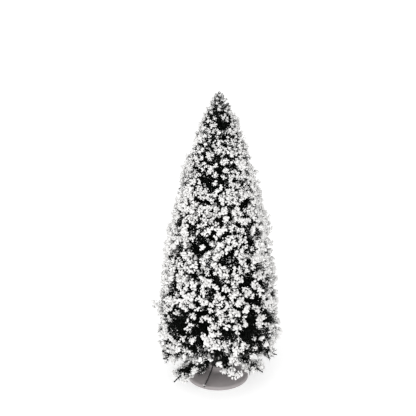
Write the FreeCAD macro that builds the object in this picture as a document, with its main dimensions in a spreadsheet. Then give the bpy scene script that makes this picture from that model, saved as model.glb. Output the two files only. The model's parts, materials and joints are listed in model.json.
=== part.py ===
"""Flocked tabletop tree: wire branches bound to a taped stem, which turns in a round weighted base.

Millimetres, +Z up. The origin is the centre of the pad's underside, which rests on the table.
+X points to the right-hand side and -Y to the front.
"""
import FreeCAD, Part
import math
import os
import Sketcher
from FreeCAD import Placement, Rotation, Vector

doc = FreeCAD.newDocument("TabletopTree")

# ---------------------------------------------------------------- driving dimensions

SIZES = {
    # whole tree
    "tree_height": 300.0,
    "foliage_radius": 62.0,
    "shoulder_height": 45.0,  # below this height the outline is a straight cylinder
    "outline_bulge": 1.6,
    "outline_power": 0.75,
    # pad under the base
    "pad_radius": 29.6,
    "pad_thick": 1.2,
    # cover: a thin moulded dome with a hub in the middle
    "cover_radius": 32.0,
    "cover_bore": 30.2,
    "cover_foot": 0.5,  # its edge stands this far above the table
    "rim_height": 2.0,
    "rim_round": 2.4,
    "dome_edge": 30.5,
    "dome_edge_height": 4.2,
    "dome_round": 62.0,
    "hub_foot": 12.6,
    "hub_foot_height": 8.6,
    "hub_fillet": 5.2,
    "hub_radius": 8.4,
    "hub_shoulder": 12.4,
    "hub_round": 1.2,
    "hub_face": 7.2,
    "hub_top": 13.6,
    "boss_radius": 6.6,
    "boss_foot": 1.6,
    "ceiling_top": 7.0,
    "ceiling_edge": 2.6,
    # cast weight
    "weight_edge": 2.4,
    "weight_top": 6.2,
    # socket sleeve in the hub
    "sleeve_radius": 5.0,
    "sleeve_floor": 2.6,
    "lip_radius": 6.2,
    "lip_top": 14.6,
    "socket_radius": 3.05,
    # ferrule on the stem, which turns in the sleeve
    "ferrule_radius": 3.0,
    "ferrule_foot": 2.9,
    "collar_radius": 4.8,
    "collar_foot": 14.9,
    "collar_top": 17.3,
    # stem
    "rod_radius": 1.2,
    "rod_top": 294.0,
    "tape_foot_radius": 3.0,
    "tape_top_radius": 1.6,
    "tape_top": 268.0,
    "binding_wall": 0.5,
    "binding_height": 3.6,
    # branches
    "wire_radius": 0.8,
    "root_gap": 0.1,  # from a binding to the wires that it holds
    "neck_radius": 1.6,  # foliage where it starts on the wire
    "blunt_radius": 1.4,  # foliage at its tip
    "beyond_wire": 2.0,  # foliage past the wire's end
    # leader at the top
    "leader_foot": 269.0,
    "leader_neck": 2.5,
    "leader_waist": 283.0,
    "leader_radius": 5.5,
    "leader_shoulder": 291.5,
    "leader_shoulder_radius": 4.0,
    # drooping skirt
    "skirt_height": 38.0,
    "skirt_gap": 0.8,  # from the binding to the wires, which bend there
    "skirt_reach": 60.5,
    "skirt_spray": 6.0,
    # bare twig that hangs down in front of the base
    "twig_height": 33.0,
    "twig_azimuth": 248.0,
    "twig_pitch": -40.0,
    "twig_length": 43.0,
    "twig_radius": 0.55,
}

ROWS = 12  # fixed rows of branches above the skirt
ROW_LIMITS = {  # lowest row's value, then highest row's
    "tip_height": (52.0, 276.0),
    "pitch": (-3.0, 52.0),
    "spray": (8.6, 3.4),
    "count": (12, 6),
}
TIP_INSET = 2.0  # the branches end this far inside the outline
START_SHARE = 0.19  # where along a branch its foliage starts, is widest, and narrows
WIDEST_SHARE = 0.55
SHOULDER_SHARE = 0.86
SHOULDER_WIDTH = 0.8  # of the widest radius
SKIRT_FIRST_AZIMUTH = 15.0
SKIRT_DROOPS = (9.0, 12.0, 8.0, 11.0, 10.0, 13.0, 12.0, 21.0, 2.0, 6.0, 9.0, 5.0)


def outline(height):
    """Radius of the bullet-shaped foliage at a height."""
    low = SIZES["shoulder_height"]
    share = max(height - low, 0.0) / (SIZES["tree_height"] - low)
    return SIZES["foliage_radius"] * (1.0 - share ** SIZES["outline_bulge"]) ** SIZES["outline_power"]


def tape_radius(height):
    """Radius of the tapering taped stem at a height."""
    share = (height - SIZES["collar_top"]) / (SIZES["tape_top"] - SIZES["collar_top"])
    return SIZES["tape_foot_radius"] + share * (SIZES["tape_top_radius"] - SIZES["tape_foot_radius"])


def spray_sizes(length, spray):
    """Distances along a branch, and radii, that shape its foliage."""
    return {
        "length": length,
        "spray": spray,
        "start": START_SHARE * length,
        "widest": WIDEST_SHARE * length,
        "shoulder": SHOULDER_SHARE * length,
        "shoulder_radius": SHOULDER_WIDTH * spray,
    }


def plan_row(number):
    """Root, pitch, length, foliage and count of one fixed row, from the tree's outline."""
    share = (number - 1) / (ROWS - 1)
    height, pitch, spray, count = (low + share * (high - low) for low, high in ROW_LIMITS.values())
    slope = math.radians(pitch)
    reach = outline(height) - TIP_INSET
    root_height = height
    for _ in range(4):
        root = tape_radius(root_height) + SIZES["binding_wall"] + SIZES["root_gap"]
        root_height = height - (reach - root) * math.tan(slope)
    root += SIZES["wire_radius"] * abs(math.sin(slope))
    length = (reach - root) / math.cos(slope) - SIZES["beyond_wire"]
    count = round(count)
    turn = 180.0 / count * (number - 1)
    plan = {"root": root, "height": root_height, "pitch": pitch, "count": count, "turn": turn}
    plan.update(spray_sizes(length, spray))
    return plan


def plan_skirt(number, droop):
    """The same for one branch of the skirt, which is a piece of its own."""
    root = tape_radius(SIZES["skirt_height"]) + SIZES["binding_wall"] + SIZES["skirt_gap"]
    length = SIZES["skirt_reach"] - root - SIZES["beyond_wire"]
    turn = SKIRT_FIRST_AZIMUTH + 360.0 / len(SKIRT_DROOPS) * (number - 1)
    plan = {"root": root, "height": SIZES["skirt_height"], "pitch": -droop, "turn": turn}
    plan.update(spray_sizes(length, SIZES["skirt_spray"]))
    return plan


def plan_binding(height):
    """The ring of tape that binds one row's wires to the stem at a height."""
    foot = height - SIZES["binding_height"] / 2
    top = height + SIZES["binding_height"] / 2
    wall = SIZES["binding_wall"]
    inner_foot, inner_top = tape_radius(foot), tape_radius(top)
    return {
        "foot": foot,
        "top": top,
        "inner_foot": inner_foot,
        "outer_foot": inner_foot + wall,
        "inner_top": inner_top,
        "outer_top": inner_top + wall,
    }


def all_sizes():
    """Every size by name, the driving ones first."""
    plans = {f"row_{n}": plan_row(n) for n in range(1, ROWS + 1)}
    plans.update({f"skirt_{n}": plan_skirt(n, droop) for n, droop in enumerate(SKIRT_DROOPS, 1)})
    for number in range(1, ROWS + 1):
        plans[f"binding_{number}"] = plan_binding(plans[f"row_{number}"]["height"])
    plans["binding_0"] = plan_binding(SIZES["skirt_height"])
    values = dict(SIZES)
    for owner, plan in plans.items():
        values.update({f"{owner}_{key}": round(value, 6) for key, value in plan.items()})
    values["twig_root"] = round(tape_radius(SIZES["twig_height"]) + SIZES["skirt_gap"], 6)
    return values


VALUES = all_sizes()

sheet = doc.addObject("Spreadsheet::Sheet", "Sizes")
for line, (alias, value) in enumerate(VALUES.items(), 1):
    sheet.set(f"A{line}", alias)
    sheet.set(f"B{line}", str(value))
    sheet.setAlias(f"B{line}", alias)
doc.recompute()


# ---------------------------------------------------------------- helpers


def amount(terms):
    """The number that a sum of sizes comes to, such as "length + beyond_wire"."""
    return sum(VALUES[name] for name in terms.split(" + "))


def formula(terms):
    """The same sum as an expression on the sheet."""
    return " + ".join(f"Sizes.{name}" for name in terms.split(" + "))


def origin_feature(body, role):
    return next(feature for feature in body.Origin.OriginFeatures if feature.Role == role)


def new_body(label):
    body = doc.addObject("PartDesign::Body", label)
    body.Label = label
    body.AllowCompound = True  # a row of branches is a group of separate solids
    return body


def bind(sketch, index, terms):
    """Tie a constraint of the sketch to its sum of sizes."""
    sketch.setExpression(f"Constraints[{index}]", formula(terms))


def pin_down(sketch, edge, end, terms, kind):
    """Fix one coordinate of an edge's end: on the axis where terms is None, else at a bound distance."""
    if terms is None:
        axis = -2 if kind == "DistanceX" else -1
        sketch.addConstraint(Sketcher.Constraint("PointOnObject", edge, end, axis))
        return
    index = sketch.addConstraint(Sketcher.Constraint(kind, -1, 1, edge, end, amount(terms)))
    bind(sketch, index, terms)


def arc_between(start, end, radius, bulge):
    """Arc from start to end, bulging to the left of that direction where bulge is 1 and to the right where -1."""
    chord = end - start
    across = Vector(-chord.y, chord.x, 0).normalize() * bulge
    sagitta = radius - math.sqrt(radius**2 - (chord.Length / 2) ** 2)
    return Part.Arc(start, (start + end) / 2 + across * sagitta, end)


def draw_profile(sketch, corners, arcs):
    """Closed outline through corners, each a pair of sums; arcs maps an edge's number to its radius and bulge."""
    points = [
        Vector(0.0 if x is None else amount(x), 0.0 if y is None else amount(y), 0) for x, y in corners
    ]
    ends = []
    for number, start in enumerate(points):
        end = points[(number + 1) % len(points)]
        if number not in arcs:
            edge = sketch.addGeometry(Part.LineSegment(start, end))
            ends.append((edge, 1, 2))
            continue
        radius, bulge = arcs[number]
        edge = sketch.addGeometry(arc_between(start, end, VALUES[radius], bulge))
        forward = sketch.getPoint(edge, 1).distanceToPoint(start) < sketch.getPoint(edge, 1).distanceToPoint(end)
        ends.append((edge, 1, 2) if forward else (edge, 2, 1))
        index = sketch.addConstraint(Sketcher.Constraint("Radius", edge, VALUES[radius]))
        bind(sketch, index, radius)
    for number, (edge, first, last) in enumerate(ends):
        following, following_first, _ = ends[(number + 1) % len(ends)]
        sketch.addConstraint(Sketcher.Constraint("Coincident", edge, last, following, following_first))
    for (edge, first, last), (x, y) in zip(ends, corners):
        pin_down(sketch, edge, first, x, "DistanceX")
        pin_down(sketch, edge, first, y, "DistanceY")


def revolve(body, name, corners, arcs=None, axis="V_Axis", lie=None):
    """Turn a closed profile, drawn in the body's XZ plane, a full turn. lie is the owner of a branch's root and pitch."""
    sketch = body.newObject("Sketcher::SketchObject", f"{name}_profile")
    sketch.AttachmentSupport = [(origin_feature(body, "XZ_Plane"), "")]
    sketch.MapMode = "FlatFace"
    if lie:
        place = Vector(VALUES[f"{lie}_root"], VALUES[f"{lie}_height"], 0)
        sketch.AttachmentOffset = Placement(place, Rotation(Vector(0, 0, 1), VALUES[f"{lie}_pitch"]))
        sketch.setExpression("AttachmentOffset.Base.x", f"Sizes.{lie}_root")
        sketch.setExpression("AttachmentOffset.Base.y", f"Sizes.{lie}_height")
        sketch.setExpression("AttachmentOffset.Rotation.Angle", f"Sizes.{lie}_pitch")
    draw_profile(sketch, corners, arcs or {})
    doc.recompute()
    turned = body.newObject("PartDesign::Revolution", f"{name}_turned")
    turned.Profile = sketch
    turned.ReferenceAxis = (sketch, [axis])
    turned.Angle = 360
    doc.recompute()
    return turned


def repeat_round(body, feature, count):
    """Repeat a feature evenly about the tree's axis."""
    pattern = body.newObject("PartDesign::PolarPattern", f"{body.Label}_round")
    pattern.Originals = [feature]
    pattern.Axis = (origin_feature(body, "Z_Axis"), [""])
    pattern.Angle = 360
    pattern.setExpression("Occurrences", formula(count))
    body.Tip = pattern


def face_round(body, turn):
    """Turn the whole body about the tree's axis."""
    body.Placement = Placement(Vector(), Rotation(Vector(0, 0, 1), VALUES[turn]))
    body.setExpression("Placement.Rotation.Angle", formula(turn))


# ---------------------------------------------------------------- base


def make_base_pad():
    """Round felt pad, the face that the tree stands on."""
    body = new_body("base_pad")
    corners = [(None, None), ("pad_radius", None), ("pad_radius", "pad_thick"), (None, "pad_thick")]
    revolve(body, "pad", corners)
    return body


def make_base_weight():
    """Ring of cast filler inside the cover, flat underneath and sloping with the dome."""
    body = new_body("base_weight")
    corners = [
        ("boss_radius", "pad_thick"),
        ("cover_bore", "pad_thick"),
        ("cover_bore", "weight_edge"),
        ("boss_radius", "weight_top"),
    ]
    revolve(body, "weight", corners)
    return body


def make_base_cover():
    """Moulded cover: rounded rim, shallow dome, and a hub whose boss reaches down through the weight."""
    body = new_body("base_cover")
    corners = [
        ("cover_bore", "cover_foot"),
        ("cover_radius", "cover_foot"),
        ("cover_radius", "rim_height"),
        ("dome_edge", "dome_edge_height"),
        ("hub_foot", "hub_foot_height"),
        ("hub_radius", "hub_shoulder"),
        ("hub_face", "hub_top"),
        ("sleeve_radius", "hub_top"),
        ("sleeve_radius", "boss_foot"),
        ("boss_radius", "boss_foot"),
        ("boss_radius", "ceiling_top"),
        ("cover_bore", "ceiling_edge"),
    ]
    arcs = {2: ("rim_round", -1), 3: ("dome_round", -1), 4: ("hub_fillet", 1), 5: ("hub_round", -1)}
    revolve(body, "cover", corners, arcs)
    return body


def make_socket_sleeve():
    """Flanged cup pressed into the hub, in which the stem's ferrule turns."""
    body = new_body("socket_sleeve")
    corners = [
        (None, "boss_foot"),
        ("sleeve_radius", "boss_foot"),
        ("sleeve_radius", "hub_top"),
        ("lip_radius", "hub_top"),
        ("lip_radius", "lip_top"),
        ("socket_radius", "lip_top"),
        ("socket_radius", "sleeve_floor"),
        (None, "sleeve_floor"),
    ]
    revolve(body, "sleeve", corners)
    return body


# ---------------------------------------------------------------- stem


def make_stem_ferrule():
    """Plug on the foot of the stem, with a collar that keeps the foliage off the base."""
    body = new_body("stem_ferrule")
    corners = [
        ("rod_radius", "ferrule_foot"),
        ("ferrule_radius", "ferrule_foot"),
        ("ferrule_radius", "collar_foot"),
        ("collar_radius", "collar_foot"),
        ("collar_radius", "collar_top"),
        ("rod_radius", "collar_top"),
    ]
    revolve(body, "ferrule", corners)
    return body


def make_stem_rod():
    """Steel rod from the ferrule's foot to just under the tree's tip."""
    body = new_body("stem_rod")
    corners = [
        (None, "ferrule_foot"),
        ("rod_radius", "ferrule_foot"),
        ("rod_radius", "rod_top"),
        (None, "rod_top"),
    ]
    revolve(body, "rod", corners)
    return body


def make_stem_tape():
    """Tape wound round the rod and the branch wires' ends, thinner towards the top."""
    body = new_body("stem_tape")
    corners = [
        ("rod_radius", "collar_top"),
        ("tape_foot_radius", "collar_top"),
        ("tape_top_radius", "tape_top"),
        ("rod_radius", "tape_top"),
    ]
    revolve(body, "tape", corners)
    return body


def make_branch_bindings():
    """One ring of tape for each row of branches, the skirt's first."""
    body = new_body("branch_bindings")
    for number in range(ROWS + 1):
        ring = f"binding_{number}"
        corners = [
            (f"{ring}_inner_foot", f"{ring}_foot"),
            (f"{ring}_outer_foot", f"{ring}_foot"),
            (f"{ring}_outer_top", f"{ring}_top"),
            (f"{ring}_inner_top", f"{ring}_top"),
        ]
        revolve(body, ring, corners)
    return body


def make_leader_foliage():
    """Upright tuft round the rod's end, which is the tree's tip."""
    body = new_body("leader_foliage")
    corners = [
        ("rod_radius", "leader_foot"),
        ("leader_neck", "leader_foot"),
        ("leader_radius", "leader_waist"),
        ("leader_shoulder_radius", "leader_shoulder"),
        ("blunt_radius", "tree_height"),
        (None, "tree_height"),
        (None, "rod_top"),
        ("rod_radius", "rod_top"),
    ]
    revolve(body, "leader", corners)
    return body


# ---------------------------------------------------------------- branches


def draw_wire(body, owner, length, radius):
    """Straight wire along a branch's own axis."""
    corners = [(None, None), (length, None), (length, radius), (None, radius)]
    return revolve(body, "wire", corners, axis="H_Axis", lie=owner)


def draw_foliage(body, owner):
    """Spindle of foliage round a branch's wire, closed past the wire's end."""
    corners = [
        (f"{owner}_start", "wire_radius"),
        (f"{owner}_start", "neck_radius"),
        (f"{owner}_widest", f"{owner}_spray"),
        (f"{owner}_shoulder", f"{owner}_shoulder_radius"),
        (f"{owner}_length + beyond_wire", "blunt_radius"),
        (f"{owner}_length + beyond_wire", None),
        (f"{owner}_length", None),
        (f"{owner}_length", "wire_radius"),
    ]
    return revolve(body, "foliage", corners, axis="H_Axis", lie=owner)


def make_rows():
    """The fixed rows: for each, one body of wires and one of foliage."""
    made = []
    for number in range(1, ROWS + 1):
        owner = f"row_{number}"
        wires = new_body(f"branch_wires_row_{number}")
        repeat_round(wires, draw_wire(wires, owner, f"{owner}_length", "wire_radius"), f"{owner}_count")
        foliage = new_body(f"branch_foliage_row_{number}")
        repeat_round(foliage, draw_foliage(foliage, owner), f"{owner}_count")
        for body in (wires, foliage):
            face_round(body, f"{owner}_turn")
        made += [wires, foliage]
    return made


def make_skirt():
    """The lowest branches, each with a wire and foliage of its own, because each bends by itself."""
    made = []
    for number in range(1, len(SKIRT_DROOPS) + 1):
        owner = f"skirt_{number}"
        wire = new_body(f"skirt_wire_{number}")
        draw_wire(wire, owner, f"{owner}_length", "wire_radius")
        foliage = new_body(f"skirt_foliage_{number}")
        draw_foliage(foliage, owner)
        for body in (wire, foliage):
            face_round(body, f"{owner}_turn")
        made += [wire, foliage]
    return made


def make_bare_twig():
    """Thin bare wire that hangs from the stem down past the front of the base."""
    body = new_body("bare_twig")
    draw_wire(body, "twig", "twig_length", "twig_radius")
    face_round(body, "twig_azimuth")
    return body


# ---------------------------------------------------------------- build, check and write

bodies = [
    make_base_pad(),
    make_base_weight(),
    make_base_cover(),
    make_socket_sleeve(),
    make_stem_ferrule(),
    make_stem_rod(),
    make_stem_tape(),
    make_branch_bindings(),
    make_leader_foliage(),
    *make_rows(),
    *make_skirt(),
    make_bare_twig(),
]
doc.recompute()

for feature in doc.Objects:
    if "Invalid" in feature.State or "Error" in feature.State:
        raise RuntimeError(f"{feature.Label} did not build: {feature.State}")
for body in bodies:
    if body.Shape.isNull() or not body.Shape.isValid():
        raise RuntimeError(f"{body.Label} has no valid shape")

os.makedirs("parts", exist_ok=True)
for body in bodies:
    body.Shape.exportStep(f"parts/{body.Label}.step")
    box = body.Shape.BoundBox
    solids = len(body.Shape.Solids)
    print(f"{body.Label}: {solids} solids, {body.Shape.Volume:.0f} mm3, {box.ZMin:.1f} to {box.ZMax:.1f} mm high")
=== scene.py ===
import json
import math

import bpy
import numpy as np
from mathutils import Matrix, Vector

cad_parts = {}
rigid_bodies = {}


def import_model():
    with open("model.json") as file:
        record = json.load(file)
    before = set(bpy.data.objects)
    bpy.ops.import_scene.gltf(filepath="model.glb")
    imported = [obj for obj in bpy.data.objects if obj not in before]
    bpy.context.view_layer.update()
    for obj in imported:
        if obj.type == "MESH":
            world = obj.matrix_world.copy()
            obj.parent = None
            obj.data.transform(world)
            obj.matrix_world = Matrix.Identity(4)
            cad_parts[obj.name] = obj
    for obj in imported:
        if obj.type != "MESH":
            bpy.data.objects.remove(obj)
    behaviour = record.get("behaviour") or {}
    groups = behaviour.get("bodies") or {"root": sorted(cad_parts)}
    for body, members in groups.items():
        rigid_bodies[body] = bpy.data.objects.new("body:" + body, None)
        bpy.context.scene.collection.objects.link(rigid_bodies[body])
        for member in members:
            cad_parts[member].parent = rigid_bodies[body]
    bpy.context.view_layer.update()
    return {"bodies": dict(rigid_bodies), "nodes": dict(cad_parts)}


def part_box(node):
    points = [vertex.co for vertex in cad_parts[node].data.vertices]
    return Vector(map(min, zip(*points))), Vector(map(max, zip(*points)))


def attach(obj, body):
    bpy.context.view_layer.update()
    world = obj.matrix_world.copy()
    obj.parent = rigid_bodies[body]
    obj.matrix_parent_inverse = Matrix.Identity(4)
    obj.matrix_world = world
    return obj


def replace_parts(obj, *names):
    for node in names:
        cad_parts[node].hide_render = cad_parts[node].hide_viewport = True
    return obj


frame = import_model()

MM = 0.001
GOLDEN_ANGLE = math.pi * (3 - math.sqrt(5))
SKIRTS = sorted(
    (name for name in frame["bodies"] if name.startswith("skirt_branch_")),
    key=lambda name: int(name.rsplit("_", 1)[1]),
)
ROW_COUNT = sum(name.startswith("branch_wires_row_") for name in frame["nodes"])

# ---------------------------------------------------------------- reading the frame


def node_points(node):
    """The vertices of a CAD node as an array, in metres."""
    mesh = frame["nodes"][node].data
    points = np.empty(len(mesh.vertices) * 3)
    mesh.vertices.foreach_get("co", points)
    return points.reshape(-1, 3)


def wires_of(node):
    """(root, tip) of each straight wire in a CAD node, by azimuth. All wires of a node share one pitch."""
    points = node_points(node)
    radius = np.hypot(points[:, 0], points[:, 1])
    near = points[radius < radius.min() + 1.0 * MM]
    far = points[radius > radius.max() - 0.4 * MM]
    root_radius = np.hypot(near[:, 0], near[:, 1]).mean()
    tip_radius = np.hypot(far[:, 0], far[:, 1]).mean()
    azimuths = np.sort(np.arctan2(far[:, 1], far[:, 0]))
    groups = np.split(azimuths, np.where(np.diff(azimuths) > math.radians(8))[0] + 1)
    centres = [group.mean() for group in groups]
    if len(centres) > 1 and centres[0] + 2 * math.pi - centres[-1] < math.radians(8):
        centres[0] = (centres[0] + 2 * math.pi + centres.pop()) / 2
    wires = []
    for azimuth in centres:
        out = np.array([math.cos(azimuth), math.sin(azimuth), 0.0])
        root = out * root_radius + [0, 0, near[:, 2].mean()]
        tip = out * tip_radius + [0, 0, far[:, 2].mean()]
        wires.append((root, tip))
    return wires


ROW_WIRES = [wires_of(f"branch_wires_row_{n}") for n in range(1, ROW_COUNT + 1)]
SKIRT_WIRES = [wires_of(f"skirt_wire_{n}")[0] for n in range(1, len(SKIRTS) + 1)]
TWIG_ROOT, TWIG_TIP = wires_of("bare_twig")[0]
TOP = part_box("leader_foliage")[1].z
ROW_HEIGHTS = np.array([wires[0][1][2] for wires in ROW_WIRES])
ROW_REACHES = np.array([np.hypot(*wires[0][1][:2]) for wires in ROW_WIRES])


def outline(height):
    """Radius of the tree's outside at a height, through the ends of the rows of wires."""
    heights = np.concatenate([ROW_HEIGHTS, [TOP - 10 * MM, TOP]])
    reaches = np.concatenate([ROW_REACHES + 3.5 * MM, [7.0 * MM, 2.0 * MM]])
    return np.interp(height, heights, reaches)


# the drooping branches, in order: share of its sector that each tuft fills, how far its bare wire sticks out,
# in mm, and how far its foliage leans clockwise as seen from above, in mm
TUFT_WIDTHS = (0.8, 0.86, 0.83, 0.8, 0.8, 0.84, 0.84, 0.78, 0.5, 0.62, 0.84, 0.84)
BARE_ENDS = (1, 0, 2, 0, 1, 3, 1, 7, 1, 3, 5, 4)
TUFT_LEANS = (0, 0, 0, 0, 0, 0, 0, 0, 4, 0, 0, 0)
TUFT_TWIGS = 60  # side twigs in each
TUFT_SECTOR = math.radians(14.0)  # half the angle that a full tuft fills
TUFT_ROOM = 13.0 * MM  # and half its width at most

# ---------------------------------------------------------------- mesh building


class Batch:
    """Collects triangles, each with a tone, and turns them into one object."""

    def __init__(self):
        self.points, self.faces, self.tones, self.slots = [], [], [], []
        self.count = 0

    def add(self, points, faces, tones, slot=0):
        """points (n, 3), faces (m, 3), tones one number or one for each point."""
        self.points.append(points)
        self.faces.append(faces + self.count)
        self.tones.append(np.broadcast_to(tones, len(points)))
        self.slots.append(np.full(len(faces), slot, np.int32))
        self.count += len(points)

    def add_many(self, points, faces, tones, slot=0):
        """points (k, n, 3): k copies of one topology, faces (m, 3), tones (k,) or (k, n)."""
        copies, size = points.shape[:2]
        if copies == 0:
            return
        shifts = (np.arange(copies) * size)[:, None, None]
        tones = np.asarray(tones, float)
        if tones.ndim == 1:
            tones = np.repeat(tones[:, None], size, axis=1)
        self.add(points.reshape(-1, 3), (faces[None] + shifts).reshape(-1, 3), tones.ravel(), slot)

    def build(self, name, materials, smooth):
        """One mesh object in the scene's collection."""
        points = np.concatenate(self.points)
        faces = np.concatenate(self.faces).astype(np.int32)
        mesh = bpy.data.meshes.new(name)
        mesh.vertices.add(len(points))
        mesh.vertices.foreach_set("co", points.astype(np.float32).ravel())
        mesh.loops.add(faces.size)
        mesh.loops.foreach_set("vertex_index", faces.ravel())
        mesh.polygons.add(len(faces))
        mesh.polygons.foreach_set("loop_start", np.arange(0, faces.size, 3, dtype=np.int32))
        mesh.polygons.foreach_set("material_index", np.concatenate(self.slots))
        mesh.polygons.foreach_set("use_smooth", np.full(len(faces), smooth))
        tone = mesh.attributes.new("tone", "FLOAT", "POINT")
        tone.data.foreach_set("value", np.concatenate(self.tones).astype(np.float32))
        mesh.update(calc_edges=True)
        for material in materials:
            mesh.materials.append(material)
        obj = bpy.data.objects.new(name, mesh)
        bpy.context.scene.collection.objects.link(obj)
        return obj


def unit(vectors):
    """Vectors scaled to length 1, along the last axis."""
    return vectors / np.maximum(np.linalg.norm(vectors, axis=-1, keepdims=True), 1e-12)


def across(directions):
    """Two unit vectors square to each direction and to each other."""
    helper = np.where(np.abs(directions[..., 2:3]) < 0.9, [0.0, 0.0, 1.0], [1.0, 0.0, 0.0])
    side = unit(np.cross(directions, helper))
    return side, np.cross(directions, side)


def side_faces(steps, sides):
    """Triangles that join the rings of a tube, each ring of sides points, into one skin."""
    faces = []
    for step in range(steps - 1):
        for k in range(sides):
            a, b = step * sides + k, step * sides + (k + 1) % sides
            faces += [(a, b, b + sides), (a, b + sides, a + sides)]
    return faces


def tubes(paths, radii, sides):
    """Round tubes, closed at both ends, along k paths (k, n, 3) with radii (k, n).
    Returns points (k, n * sides + 2, 3) and the faces that all tubes share."""
    copies, steps = paths.shape[:2]
    heading = unit(np.gradient(paths, axis=1))
    side, up = across(heading)
    angles = np.arange(sides) * 2 * math.pi / sides
    ring = (
        side[:, :, None] * np.cos(angles)[None, None, :, None]
        + up[:, :, None] * np.sin(angles)[None, None, :, None]
    )
    body = paths[:, :, None] + ring * radii[:, :, None, None]
    points = np.concatenate([body.reshape(copies, -1, 3), paths[:, :1], paths[:, -1:]], axis=1)
    faces = side_faces(steps, sides)
    first, last = steps * sides, steps * sides + 1
    for k in range(sides):
        following = (k + 1) % sides
        faces.append((first, following, k))
        faces.append((last, (steps - 1) * sides + k, (steps - 1) * sides + following))
    return points, np.array(faces)


def twisted_pair(root, tip, radius, pitch, bow, rng, sides=5, per_turn=7):
    """Two strands of the given radius in all, wound round a line from root to tip that bows aside by bow."""
    length = np.linalg.norm(tip - root)
    steps = max(int(length / pitch * per_turn), 4)
    share = np.linspace(0, 1, steps)
    line = root + (tip - root) * share[:, None]
    line = line + np.sin(share * math.pi)[:, None] * bow
    heading = unit(np.gradient(line, axis=0))
    side, up = across(heading)
    turn = share * length / pitch * 2 * math.pi + rng.uniform(0, 6.28)
    strands = []
    for phase in (0, math.pi):
        offset = side * np.cos(turn + phase)[:, None] + up * np.sin(turn + phase)[:, None]
        strands.append(line + offset * radius * 0.5)
    return tubes(np.array(strands), np.full((2, steps), radius * 0.52), sides)


# ---------------------------------------------------------------- crumbs of flock


def crumb_shapes(count, subdivisions, seed):
    """Angular chips of about unit radius, all with one topology: points (count, n, 3) and faces."""
    rng = np.random.default_rng(seed)
    bpy.ops.mesh.primitive_ico_sphere_add(subdivisions=subdivisions, radius=1.0)
    ball = bpy.context.active_object
    sphere = np.array([v.co for v in ball.data.vertices])
    faces = np.array([list(p.vertices) for p in ball.data.polygons])
    bpy.data.objects.remove(ball)
    shapes = []
    for _ in range(count):
        height = np.ones(len(sphere))
        for _ in range(4):  # broad knobs and dents
            height += np.clip(sphere @ unit(rng.normal(size=3)), 0, 1) ** 5 * rng.uniform(-0.6, 0.65)
        shape = sphere * (height + rng.normal(0, 0.07, len(sphere)))[:, None]
        for _ in range(5):  # flat broken sides
            normal = unit(rng.normal(size=3))
            past = np.maximum(shape @ normal - rng.uniform(0.45, 0.9), 0)
            shape = shape - past[:, None] * normal
        shapes.append(shape)
    return np.array(shapes), faces


BIG_CRUMBS, BIG_FACES = crumb_shapes(40, 2, 11)
SMALL_CRUMBS, SMALL_FACES = crumb_shapes(24, 1, 12)
BIG_CRUMB = 1.15 * MM  # a crumb of at least this radius gets the finer shapes


def random_turns(count, rng):
    """Random rotation matrices."""
    q = unit(rng.normal(size=(count, 4)))
    w, x, y, z = q.T
    return np.array(
        [
            [1 - 2 * (y * y + z * z), 2 * (x * y - z * w), 2 * (x * z + y * w)],
            [2 * (x * y + z * w), 1 - 2 * (x * x + z * z), 2 * (y * z - x * w)],
            [2 * (x * z - y * w), 2 * (y * z + x * w), 1 - 2 * (x * x + y * y)],
        ]
    ).transpose(2, 0, 1)


def add_crumbs(batch, centres, radii, rng):
    """Crumbs at centres, small ones with fewer faces."""
    for shapes, faces, chosen in (
        (BIG_CRUMBS, BIG_FACES, radii >= BIG_CRUMB),
        (SMALL_CRUMBS, SMALL_FACES, radii < BIG_CRUMB),
    ):
        count = int(chosen.sum())
        picks = shapes[rng.integers(0, len(shapes), count)]
        stretch = rng.uniform(0.6, 1.3, (count, 1, 3))
        turned = np.einsum("kij,knj->kni", random_turns(count, rng), picks * stretch)
        points = turned * radii[chosen][:, None, None] + centres[chosen][:, None]
        batch.add_many(points, faces, rng.uniform(0, 1, count))


# ---------------------------------------------------------------- twigs and needles

NEEDLE_FACES = np.array([(0, 1, 3), (1, 2, 3), (2, 0, 3), (0, 2, 1)])
NEEDLE_FLATNESS = 0.7  # a needle's thickness over half its width


def add_needles(batch, starts, directions, lengths, widths, tones):
    """Thin tapering needles, flat in section, each ending in a point."""
    side, up = across(directions)
    half = widths[:, None] / 2
    root = [starts + side * half, starts - side * half, starts + up * half * NEEDLE_FLATNESS]
    point = starts + directions * lengths[:, None]
    batch.add_many(np.stack([*root, point], axis=1), NEEDLE_FACES, tones)


def twig_paths(starts, ends, lift, steps=5):
    """Curved paths (k, steps, 3) from starts to ends, bowed by lift (k, 3)."""
    share = np.linspace(0, 1, steps)[None, :, None]
    bow = np.sin(share * math.pi) * lift[:, None]
    return starts[:, None] + (ends - starts)[:, None] * share + bow


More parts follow.
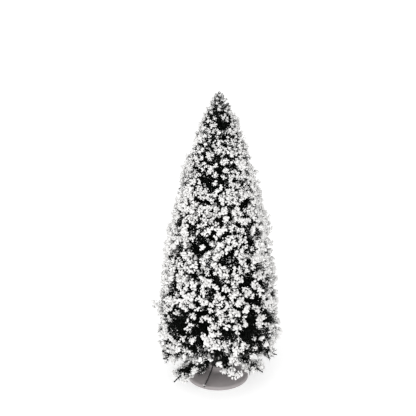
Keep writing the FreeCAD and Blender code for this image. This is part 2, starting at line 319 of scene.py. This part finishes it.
def add_twigs(batch, starts, ends, rng, needles, needle_length, thick=0.42 * MM, covered=1.0):
    """Side twigs with needles all round the covered share of their length. Returns their paths."""
    count = len(starts)
    length = np.linalg.norm(ends - starts, axis=1)
    lift = rng.normal(0, 0.09, (count, 3)) * length[:, None] + [0, 0, 1] * length[:, None] * 0.05
    paths = twig_paths(starts, ends, lift)
    radii = np.linspace(thick, thick * 0.55, paths.shape[1])[None].repeat(count, 0)
    points, faces = tubes(paths, radii, 4)
    batch.add_many(points, faces, rng.uniform(0, 0.5, count))
    total = count * needles
    which = np.repeat(np.arange(count), needles)
    along = rng.uniform(0.12, covered, total)
    place = along * (paths.shape[1] - 1)
    low = np.minimum(place.astype(int), paths.shape[1] - 2)
    part = (place - low)[:, None]
    a, b = paths[which, low], paths[which, low + 1]
    base = a + (b - a) * part
    heading = unit(b - a)
    spread = unit(np.cross(heading, rng.normal(size=(total, 3))))
    lean = rng.uniform(0.35, 1.0, (total, 1))
    direction = unit(heading * lean + spread * (1.25 - lean * 0.6))
    lengths = needle_length * rng.uniform(0.55, 1.15, total)
    widths = rng.uniform(0.65, 1.05, total) * MM
    add_needles(batch, base, direction, lengths, widths, rng.uniform(0, 1, total))
    return paths


# ---------------------------------------------------------------- materials


def new_material(name):
    """A new material, with its nodes, its links and its shader."""
    material = bpy.data.materials.new(name)
    material.use_nodes = True
    nodes = material.node_tree.nodes
    return material, nodes, material.node_tree.links, nodes["Principled BSDF"]


def add_noise(nodes, links, scale, detail=4.0, rough=0.6):
    """Noise in metres of the object's own space, so its grain has a real size."""
    place = nodes.new("ShaderNodeTexCoord")
    noise = nodes.new("ShaderNodeTexNoise")
    noise.inputs["Scale"].default_value = scale
    noise.inputs["Detail"].default_value = detail
    noise.inputs["Roughness"].default_value = rough
    links.new(place.outputs["Object"], noise.inputs["Vector"])
    return noise.outputs["Fac"]


def add_ramp(nodes, links, source, stops):
    """Colour ramp through stops of (position, (r, g, b))."""
    ramp = nodes.new("ShaderNodeValToRGB")
    elements = ramp.color_ramp.elements
    while len(elements) < len(stops):
        elements.new(0.5)
    for element, (position, colour) in zip(elements, stops):
        element.position = position
        element.color = (*colour, 1)
    links.new(source, ramp.inputs["Fac"])
    return ramp.outputs["Color"]


def add_bump(nodes, links, shader, sources):
    """Stacked bumps: sources are (height, strength, distance in metres)."""
    normal = None
    for height, strength, distance in sources:
        bump = nodes.new("ShaderNodeBump")
        bump.inputs["Strength"].default_value = strength
        bump.inputs["Distance"].default_value = distance
        links.new(height, bump.inputs["Height"])
        if normal:
            links.new(normal, bump.inputs["Normal"])
        normal = bump.outputs["Normal"]
    links.new(normal, shader.inputs["Normal"])


def add_range(nodes, links, source, low, high):
    """source, from 0 to 1, spread over low to high."""
    spread = nodes.new("ShaderNodeMapRange")
    spread.inputs["To Min"].default_value = low
    spread.inputs["To Max"].default_value = high
    links.new(source, spread.inputs["Value"])
    return spread.outputs["Result"]


def add_tone(nodes):
    """The tone that Batch stores on each crumb, needle and twig."""
    tone = nodes.new("ShaderNodeAttribute")
    tone.attribute_name = "tone"
    return tone.outputs["Fac"]


def mix_colours(nodes, links, factor, first, second, kind="MIX"):
    """Two colours blended by one fixed factor."""
    mix = nodes.new("ShaderNodeMix")
    mix.data_type = "RGBA"
    mix.blend_type = kind
    mix.inputs["Factor"].default_value = factor
    links.new(first, mix.inputs["A"])
    links.new(second, mix.inputs["B"])
    return mix.outputs["Result"]


def make_flock():
    """White paper-foam crumbs: matt, finely grained, a little warmer and greyer in places."""
    material, nodes, links, shader = new_material("flock")
    clouds = add_noise(nodes, links, 260.0)
    broad = add_ramp(nodes, links, clouds, [(0.3, (0.67, 0.664, 0.655)), (0.62, (0.83, 0.825, 0.817))])
    each = add_ramp(nodes, links, add_tone(nodes), [(0.0, (0.68, 0.673, 0.664)), (0.5, (0.84, 0.835, 0.827))])
    links.new(mix_colours(nodes, links, 0.5, broad, each), shader.inputs["Base Color"])
    shader.inputs["Specular IOR Level"].default_value = 0.25
    grain = add_noise(nodes, links, 2400.0, 3.0)
    links.new(add_range(nodes, links, grain, 0.82, 1.0), shader.inputs["Roughness"])
    pits = add_noise(nodes, links, 900.0, 4.0)
    add_bump(nodes, links, shader, [(grain, 0.5, 0.15 * MM), (pits, 0.6, 0.35 * MM)])
    return material


def make_needle():
    """Nearly black green plastic needles."""
    material, nodes, links, shader = new_material("needle")
    greens = [(0.0, (0.002, 0.0025, 0.002)), (1.0, (0.009, 0.012, 0.009))]
    links.new(add_ramp(nodes, links, add_tone(nodes), greens), shader.inputs["Base Color"])
    shader.inputs["Specular IOR Level"].default_value = 0.15
    streak = add_noise(nodes, links, 1500.0, 2.0)
    links.new(add_range(nodes, links, streak, 0.5, 0.8), shader.inputs["Roughness"])
    add_bump(nodes, links, shader, [(streak, 0.3, 0.1 * MM)])
    return material


def make_wire():
    """Black lacquered soft wire, scuffed in places."""
    material, nodes, links, shader = new_material("wire")
    clouds = add_noise(nodes, links, 500.0)
    colour = add_ramp(nodes, links, clouds, [(0.35, (0.006, 0.006, 0.006)), (0.8, (0.03, 0.028, 0.026))])
    links.new(colour, shader.inputs["Base Color"])
    scuffs = add_noise(nodes, links, 1200.0, 3.0)
    links.new(add_range(nodes, links, scuffs, 0.35, 0.65), shader.inputs["Roughness"])
    add_bump(nodes, links, shader, [(scuffs, 0.25, 0.1 * MM)])
    return material


def make_base_plastic():
    """Warm grey moulded plastic: satin, with a fine eggshell grain and faint cloudy variation."""
    material, nodes, links, shader = new_material("base_plastic")
    greys = [(0.3, (0.310, 0.283, 0.284)), (0.7, (0.350, 0.323, 0.324))]
    cloud = add_ramp(nodes, links, add_noise(nodes, links, 70.0, 3.0), greys)
    specks = [(0.62, (1.0, 1.0, 1.0)), (0.78, (1.16, 1.15, 1.15))]
    dust = add_ramp(nodes, links, add_noise(nodes, links, 1400.0, 2.0), specks)
    links.new(mix_colours(nodes, links, 1.0, cloud, dust, "MULTIPLY"), shader.inputs["Base Color"])
    grain = add_noise(nodes, links, 2600.0, 2.0)
    gloss = add_noise(nodes, links, 180.0, 4.0)
    links.new(add_range(nodes, links, gloss, 0.34, 0.5), shader.inputs["Roughness"])
    add_bump(nodes, links, shader, [(grain, 0.12, 0.06 * MM)])
    return material


def make_felt():
    """Dark felt: matt, with short tangled fibres."""
    material, nodes, links, shader = new_material("felt")
    fibre = add_noise(nodes, links, 1800.0, 6.0, 0.75)
    colour = add_ramp(nodes, links, fibre, [(0.3, (0.03, 0.03, 0.031)), (0.7, (0.09, 0.09, 0.092))])
    links.new(colour, shader.inputs["Base Color"])
    shader.inputs["Sheen Weight"].default_value = 0.3
    shader.inputs["Roughness"].default_value = 0.95
    add_bump(nodes, links, shader, [(fibre, 0.8, 0.3 * MM)])
    return material


def make_dark_plastic():
    """Black moulded plastic for the socket and the ferrule."""
    material, nodes, links, shader = new_material("dark_plastic")
    cloud = add_noise(nodes, links, 300.0, 4.0)
    links.new(
        add_ramp(nodes, links, cloud, [(0.3, (0.012, 0.012, 0.012)), (0.7, (0.024, 0.023, 0.022))]),
        shader.inputs["Base Color"],
    )
    links.new(add_range(nodes, links, cloud, 0.3, 0.55), shader.inputs["Roughness"])
    add_bump(nodes, links, shader, [(add_noise(nodes, links, 2500.0, 2.0), 0.15, 0.06 * MM)])
    return material


def make_tape():
    """Dark crinkled paper tape."""
    material, nodes, links, shader = new_material("tape")
    crinkle = add_noise(nodes, links, 900.0, 5.0, 0.7)
    links.new(
        add_ramp(nodes, links, crinkle, [(0.3, (0.010, 0.011, 0.009)), (0.75, (0.032, 0.033, 0.026))]),
        shader.inputs["Base Color"],
    )
    links.new(add_range(nodes, links, crinkle, 0.7, 0.95), shader.inputs["Roughness"])
    add_bump(nodes, links, shader, [(crinkle, 0.6, 0.25 * MM)])
    return material


def make_floor():
    """Plain pale floor that also glows a little, which keeps it near white."""
    material, _, _, shader = new_material("floor")
    shader.inputs["Base Color"].default_value = (0.64, 0.64, 0.64, 1)
    shader.inputs["Roughness"].default_value = 0.9
    shader.inputs["Emission Color"].default_value = (1, 1, 1, 1)
    shader.inputs["Emission Strength"].default_value = 0.54
    return material


FLOCK, NEEDLE, WIRE = make_flock(), make_needle(), make_wire()
BASE_PLASTIC, FELT, DARK_PLASTIC, TAPE = make_base_plastic(), make_felt(), make_dark_plastic(), make_tape()

# ---------------------------------------------------------------- the rows' foliage


def spacing(height):
    """Distance between twig ends on the outside: closer towards the tip, where the tree is finer."""
    return np.interp(height, [0.03, 0.16, 0.25, 0.3], [6.8 * MM, 6.0 * MM, 4.4 * MM, 3.4 * MM])


def clump_size(height):
    """Typical radius of a flock crumb at a height."""
    return np.interp(height, [0.16, 0.21, 0.26, 0.3], [1.5 * MM, 1.3 * MM, 0.95 * MM, 0.6 * MM])


# holes and lumps: lowest height, span of the heights above it, and how much they crowd towards the foot
SPOTS_FOOT = 0.055
SPOTS_SPAN = TOP - 0.080
SPOTS_CROWDING = 1.25
SPOT_FADE = 1.6  # a spot works as far as this many times its size


def scatter(count, seed, smallest, largest):
    """Places spread over the tree's outside, and a size for each: smaller towards the tip."""
    rng = np.random.default_rng(seed)
    share = (np.arange(count) + rng.uniform(0, 1, count)) / count
    heights = SPOTS_FOOT + SPOTS_SPAN * share**SPOTS_CROWDING
    turns = np.arange(count) * GOLDEN_ANGLE + rng.normal(0, 0.3, count)
    reach = outline(heights)
    places = np.stack([reach * np.cos(turns), reach * np.sin(turns), heights], axis=1)
    return places, rng.uniform(smallest, largest, count) * spacing(heights) / spacing(0)


def nearness(points, spots):
    """For each point: 1 close to one of the spots, falling to 0 where that spot's effect ends."""
    places, sizes = spots
    away = np.linalg.norm(points[:, None] - places, axis=2)
    return np.clip(SPOT_FADE - away / sizes, 0, 1).max(axis=1)


# open places in the foliage, where the dark inside shows, and thick lumps of flock, which stand proud
HOLES = scatter(46, 51, 4.5 * MM, 8.5 * MM)
LUMPS = scatter(22, 52, 5.0 * MM, 8.0 * MM)
LUMP_RISE = 3.0 * MM


RING_GAP = 0.84  # height between rings of twig ends, over the distance between the ends in a ring
RING_TURN = 2.4  # radians from one ring to the next, so that the ends don't line up


def outside_points(low, high, seed):
    """Points spread evenly over the outline between two heights, with some scatter."""
    rng = np.random.default_rng(seed)
    rings = []
    height, turn = low, 0.0
    while height < high:
        gap = spacing(height)
        radius = outline(height)
        count = max(int(2 * math.pi * radius / gap), 3)
        turn += RING_TURN
        azimuth = (np.arange(count) + rng.uniform(-0.33, 0.33, count)) * 2 * math.pi / count + turn
        rise = rng.normal(0, 0.28 * gap, count)
        reach = radius * rng.uniform(0.93, 1.02, count) + rng.normal(0, 0.8 * MM, count)
        rings.append(np.stack([reach * np.cos(azimuth), reach * np.sin(azimuth), height + rise], axis=1))
        height += gap * RING_GAP
    points = np.concatenate(rings)
    return points + unit(points * [1, 1, 0]) * nearness(points, LUMPS)[:, None] * LUMP_RISE


def split_among_rows(points):
    """For each point, the row whose wires end nearest in height."""
    middles = (ROW_HEIGHTS[1:] + ROW_HEIGHTS[:-1]) / 2
    return np.searchsorted(middles, points[:, 2])


def starts_on(wires, points, rng, back):
    """For each point, a place on the nearest of the wires, some way in from its end."""
    tips = np.array([tip for _, tip in wires])
    roots = np.array([root for root, _ in wires])
    azimuth = np.arctan2(points[:, 1], points[:, 0])
    wire_azimuth = np.arctan2(tips[:, 1], tips[:, 0])
    gap = np.abs((azimuth[:, None] - wire_azimuth[None] + math.pi) % (2 * math.pi) - math.pi)
    nearest = gap.argmin(axis=1)
    length = np.linalg.norm(tips - roots, axis=1)[nearest]
    side = np.linalg.norm(points - tips[nearest], axis=1)
    inward = np.clip((side * rng.uniform(0.75, 1.15, len(points)) + back) / length, 0.05, 0.9)[:, None]
    return tips[nearest] + (roots[nearest] - tips[nearest]) * inward


def drift(points, wave, seed):
    """Smooth random field over points, from 0 to 1, that varies over about one wavelength."""
    rng = np.random.default_rng(seed)
    total = np.zeros(len(points))
    for _ in range(10):
        along = unit(rng.normal(size=3)) * rng.uniform(0.7, 1.4)
        total += np.sin(points @ along * 2 * math.pi / wave + rng.uniform(0, 6.28))
    return 0.5 + 0.5 * np.tanh(total * 0.42)


def even_directions(count):
    """Unit vectors spread evenly over a sphere."""
    step = np.arange(count) + 0.5
    rise = 1 - 2 * step / count
    turn = step * GOLDEN_ANGLE
    flat = np.sqrt(1 - rise**2)
    return np.stack([flat * np.cos(turn), flat * np.sin(turn), rise], axis=1)


# (heights, shares): how many of the twigs carry flock, and the least that the drift leaves of them
COVER = ([0.035, 0.055, 0.08, 0.13, 0.22, 0.26], [0.5, 0.68, 0.87, 1.0, 0.97, 0.8])
LEAST_COVER = ([0.06, 0.12, 0.24, 0.28], [0.0, 0.15, 0.25, 0.6])
DRIFT_WAVE = 24 * MM


def flock_twigs(batch, paths, rng, share, around):
    """A floret of flock round the end of each twig: one chip in the middle and smaller ones close round it.
    Thin where the drift and HOLES leave it thin, full at LUMPS."""
    ends = paths[:, -1]
    thick = nearness(ends, LUMPS)
    size = clump_size(ends[:, 2]) * rng.uniform(0.8, 1.2, len(ends)) * (1 + 0.3 * thick)
    cover = share * np.interp(ends[:, 2], *COVER)
    patches = np.clip(1.9 * drift(ends, DRIFT_WAVE, 5) + np.interp(ends[:, 2], *LEAST_COVER), 0.1, 1.0)
    chance = cover * patches * (1 - nearness(ends, HOLES)) + thick
    chosen = rng.uniform(size=len(ends)) < chance
    ends, size, paths_in = ends[chosen], size[chosen], paths[chosen, 1]
    outward = unit(ends * [1, 1, 0] + [0, 0, 8 * MM])
    add_crumbs(batch, ends, size * rng.uniform(0.95, 1.4, len(ends)), rng)
    spots = np.einsum("kij,nj->kni", random_turns(len(ends), rng), even_directions(around))
    spots = spots * rng.uniform(1.4, 2.0, (len(ends), around, 1)) * size[:, None, None]
    facing_out = (spots * outward[:, None]).sum(axis=2) > -0.5 * size[:, None]
    kept = facing_out & (rng.uniform(size=spots.shape[:2]) < 0.8)
    place = (ends[:, None] + spots)[kept]
    radii = (size[:, None] * rng.choice([0.5, 0.75, 0.95], kept.shape, p=[0.25, 0.4, 0.35]))[kept]
    add_crumbs(batch, place, radii, rng)
    for _ in range(3):
        along = rng.uniform(0.25, 0.8, (len(ends), 1))
        place = paths_in + (ends - paths_in) * along + rng.normal(0, 1, ends.shape) * size[:, None] * 0.9
        add_crumbs(batch, place, size * rng.uniform(0.3, 0.6, len(ends)), rng)


def cover_wires(batch, wires, rng, needles, needle_length):
    """Needles along the wires themselves."""
    for root, tip in wires:
        along = rng.uniform(0.12, 1.0, needles)[:, None]
        heading = unit(tip - root)[None].repeat(needles, 0)
        spread = unit(np.cross(heading, rng.normal(size=(needles, 3))))
        direction = unit(heading * rng.uniform(0.3, 0.9, (needles, 1)) + spread)
        lengths = needle_length * rng.uniform(0.6, 1.2, needles)
        widths = rng.uniform(0.5, 0.8, needles) * MM
        tones = rng.uniform(0, 0.6, needles)
        add_needles(batch, root + (tip - root) * along, direction, lengths, widths, tones)


def add_wires(batch, wires, rng, radius=0.8 * MM):
    """Twisted pairs in the batch's second material."""
    for root, tip in wires:
        points, faces = twisted_pair(root, tip, radius, 5.5 * MM, rng.normal(0, 0.4 * MM, 3), rng)
        for strand in points:
            batch.add(strand, faces, rng.uniform(0, 1), slot=1)


LEADER_HEIGHT = 16 * MM  # the rows' foliage ends and the leader's begins this far below the tip
ROW_SCALE = 7.0 * MM  # twigs this far apart have needles of the full length


def make_rows():
    """Needles and flock of each fixed row, as two pieces on the stem."""
    ends = outside_points(ROW_HEIGHTS[0] - 3.5 * MM, TOP - LEADER_HEIGHT, 21)
    row_of = split_among_rows(ends)
    for number, wires in enumerate(ROW_WIRES, 1):
        rng = np.random.default_rng(100 + number)
        own = ends[row_of == number - 1]
        scale = spacing(wires[0][1][2]) / ROW_SCALE
        needles = Batch()
        add_wires(needles, wires, rng)
        cover_wires(needles, wires, rng, 200, 8.0 * MM * scale)
        starts = starts_on(wires, own, rng, 6 * MM)
        paths = add_twigs(needles, starts, own, rng, 11, 3.4 * MM * scale, covered=0.86)
        inner = own * [0.8, 0.8, 1.0] + rng.normal(0, 2.0 * MM, own.shape)
        if number <= 3:  # the lowest rows are close enough inside to hide the hub
            deeper = own * [0.62, 0.62, 1.0] + rng.normal(0, 3.0 * MM, own.shape)
            inner = np.concatenate([inner, deeper, own * [0.9, 0.9, 1.0] - [0, 0, 2.5 * MM]])
        starts = starts_on(wires, inner, rng, 14 * MM)
        inner_paths = add_twigs(needles, starts, inner, rng, 17, 6.5 * MM * scale)
        dark = needles.build(f"row_{number}_needles", [NEEDLE, WIRE], smooth=False)
        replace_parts(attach(dark, "stem"), f"branch_wires_row_{number}")
        crumbs = Batch()
        flock_twigs(crumbs, paths, rng, 1.0, 10)
        flock_twigs(crumbs, inner_paths[: len(own)], rng, 0.25, 4)
        white = crumbs.build(f"row_{number}_flock", [FLOCK], smooth=False)
        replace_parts(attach(white, "stem"), f"branch_foliage_row_{number}")


def make_leader():
    """The upright tuft at the tree's tip."""
    rng = np.random.default_rng(90)
    ends = outside_points(TOP - LEADER_HEIGHT, TOP - 1.5 * MM, 22)
    ends = np.concatenate([ends, [[0, 0, TOP - 2 * MM], [1 * MM, 0.5 * MM, TOP - 3.5 * MM]]])
    starts = ends * [0.12, 0.12, 1.0] - [0, 0, 6 * MM]
    needles = Batch()
    paths = add_twigs(needles, starts, ends, rng, 18, 2.2 * MM, 0.3 * MM)
    dark = needles.build("leader_needles", [NEEDLE, WIRE], smooth=False)
    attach(dark, "stem")
    crumbs = Batch()
    flock_twigs(crumbs, paths, rng, 0.8, 8)
    white = crumbs.build("leader_flock", [FLOCK], smooth=False)
    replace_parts(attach(white, "stem"), "leader_foliage")


def make_skirt():
    """The drooping branches, each with its own needles and flock on its own body."""
    tufts = zip(SKIRT_WIRES, TUFT_WIDTHS, BARE_ENDS, TUFT_LEANS)
    for number, ((root, tip), width, bare, lean) in enumerate(tufts, 1):
        rng = np.random.default_rng(300 + number)
        heading = unit(tip - root)
        side = unit(np.cross(heading, [0, 0, 1.0]))
        up = np.cross(side, heading)
        length = np.linalg.norm(tip - root)
        along = (rng.uniform(0.3, 1.03, TUFT_TWIGS) ** 0.7)[:, None]
        reach = np.hypot(*tip[:2])
        room = np.minimum(along * reach * math.tan(TUFT_SECTOR), TUFT_ROOM) * width
        sideways = rng.uniform(-1, 1, (TUFT_TWIGS, 1)) * room
        rounding = np.clip(1.25 - (sideways / room) ** 2, 0.3, 1)  # flatter towards its sides
        upward = rng.uniform(-4.0 * MM, 7.0 * MM, (TUFT_TWIGS, 1)) * rounding
        ends = root + heading * along * length + side * (sideways + along * lean * MM) + up * upward
        ceiling = ROW_HEIGHTS[0] - rng.uniform(7.0 * MM, 11.0 * MM, TUFT_TWIGS)  # room to bend up
        ends[:, 2] = np.minimum(ends[:, 2], ceiling)
        starts = root + heading * np.clip(along - 0.2, 0.05, 0.9) * length
        needles = Batch()
        add_wires(needles, [(root, tip + heading * bare * MM)], rng)
        cover_wires(needles, [(root, tip)], rng, 200, 5.5 * MM)
        paths = add_twigs(needles, starts, ends, rng, 14, 4.4 * MM)
        body = SKIRTS[number - 1]
        dark = needles.build(f"skirt_{number}_needles", [NEEDLE, WIRE], smooth=False)
        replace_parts(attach(dark, body), f"skirt_wire_{number}")
        crumbs = Batch()
        flock_twigs(crumbs, paths, rng, 1.0, 10)
        white = crumbs.build(f"skirt_{number}_flock", [FLOCK], smooth=False)
        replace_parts(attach(white, body), f"skirt_foliage_{number}")


def make_bare_twig():
    """Thin twisted wire in front of the base, with a crumb of flock near its end."""
    rng = np.random.default_rng(70)
    twig = Batch()
    points, faces = twisted_pair(TWIG_ROOT, TWIG_TIP, 0.85 * MM, 3.6 * MM, [2.2 * MM, 0, 0.4 * MM], rng, 6, 9)
    for strand in points:
        twig.add(strand, faces, 0.5, slot=0)
    centre = TWIG_TIP + (TWIG_ROOT - TWIG_TIP) * 0.04
    places = centre + rng.normal(0, 0.6 * MM, (4, 3)) + [-0.4 * MM, 0, 0.5 * MM]
    shapes, crumb_faces = SMALL_CRUMBS[:4], SMALL_FACES
    twig.add_many(shapes * 0.8 * MM + places[:, None], crumb_faces, rng.uniform(0, 1, 4), slot=1)
    piece = twig.build("bare_twig_wire", [WIRE, FLOCK], smooth=True)
    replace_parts(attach(piece, "bare_twig"), "bare_twig")


def make_stem_tape():
    """Tape wound up the stem: each turn overlaps the last and leaves a step."""
    low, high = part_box("stem_tape")
    sides, turn_height, steps_per_turn, step_depth = 20, 5.5 * MM, 10, 0.35 * MM
    steps = int((high.z - low.z) / turn_height * steps_per_turn)
    share = np.linspace(0, 1, steps)
    points = node_points("stem_tape")
    foot_radius = np.hypot(*points[points[:, 2] < low.z + 0.1 * MM][:, :2].T).max()
    head_radius = np.hypot(*points[points[:, 2] > high.z - 0.1 * MM][:, :2].T).max()
    radius = foot_radius + (head_radius - foot_radius) * share
    height = low.z + (high.z - low.z) * share
    angles = np.arange(sides) * 2 * math.pi / sides
    phase = (height[:, None] / turn_height - angles[None] / (2 * math.pi)) % 1.0
    reach = radius[:, None] - step_depth * (1 - phase)
    heights = height[:, None].repeat(sides, 1)
    ring = np.stack([reach * np.cos(angles), reach * np.sin(angles), heights], axis=2)
    batch = Batch()
    batch.add(ring.reshape(-1, 3), np.array(side_faces(steps, sides)), 0.5)
    piece = batch.build("stem_tape_wound", [TAPE], smooth=True)
    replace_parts(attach(piece, "stem"), "stem_tape")


def finish_cad_nodes():
    """Better materials on the CAD pieces that stay."""
    for node, material in (
        ("base_cover", BASE_PLASTIC),
        ("base_pad", FELT),
        ("base_weight", BASE_PLASTIC),
        ("socket_sleeve", DARK_PLASTIC),
        ("stem_ferrule", DARK_PLASTIC),
        ("stem_rod", WIRE),
        ("branch_bindings", TAPE),
    ):
        for slot in frame["nodes"][node].material_slots:
            slot.material = material


# ---------------------------------------------------------------- floor, lights and camera


def make_floor_and_lights():
    """Pale floor, a white world that is brighter in front than behind, and one large soft light."""
    bpy.ops.mesh.primitive_plane_add(size=80.0, location=(0, 0, 0))
    floor = bpy.context.active_object
    floor.name = "floor"
    floor.data.materials.append(make_floor())
    world = bpy.data.worlds.new("studio")
    world.use_nodes = True
    nodes, links = world.node_tree.nodes, world.node_tree.links
    nodes["Background"].inputs["Color"].default_value = (1, 1, 1, 1)
    place = nodes.new("ShaderNodeTexCoord")
    turned = nodes.new("ShaderNodeMapping")
    turned.inputs["Rotation"].default_value = (0, 0, math.radians(10))
    links.new(place.outputs["Generated"], turned.inputs["Vector"])
    split = nodes.new("ShaderNodeSeparateXYZ")
    links.new(turned.outputs["Vector"], split.inputs["Vector"])
    spread = nodes.new("ShaderNodeMapRange")
    spread.inputs["From Min"].default_value = -1.0
    spread.inputs["From Max"].default_value = 0.35
    spread.inputs["To Min"].default_value = 1.38
    spread.inputs["To Max"].default_value = 0.6
    links.new(split.outputs["Y"], spread.inputs["Value"])
    links.new(spread.outputs["Result"], nodes["Background"].inputs["Strength"])
    bpy.context.scene.world = world
    light = bpy.data.lights.new("key", "AREA")
    light.size = 0.9
    light.energy = 9.5
    lamp = bpy.data.objects.new("key", light)
    lamp.location = (-0.5, -1.5, 0.85)
    lamp.rotation_euler = (Vector((0, 0, 0.15)) - lamp.location).to_track_quat("-Z", "Y").to_euler()
    bpy.context.scene.collection.objects.link(lamp)


def make_camera():
    """Camera a little above the tree, two and a half times the tree's height away from its middle."""
    elevation, distance = math.radians(20), 0.750
    middle = Vector((0, 0, 0.150))
    place = middle + Vector((0, -math.cos(elevation), math.sin(elevation))) * distance
    aim = Vector((-0.0103, 0, 0.1843))
    camera = bpy.data.cameras.new("camera")
    camera.sensor_width = 36.0
    camera.lens = 65.2
    camera.clip_start, camera.clip_end = 0.01, 50
    holder = bpy.data.objects.new("camera", camera)
    holder.location = place
    holder.rotation_euler = (aim - place).to_track_quat("-Z", "Y").to_euler()
    bpy.context.scene.collection.objects.link(holder)
    bpy.context.scene.camera = holder
    bpy.context.scene.view_settings.view_transform = "Standard"


make_camera()
make_rows()
make_leader()
make_skirt()
make_bare_twig()
make_stem_tape()
finish_cad_nodes()
make_floor_and_lights()
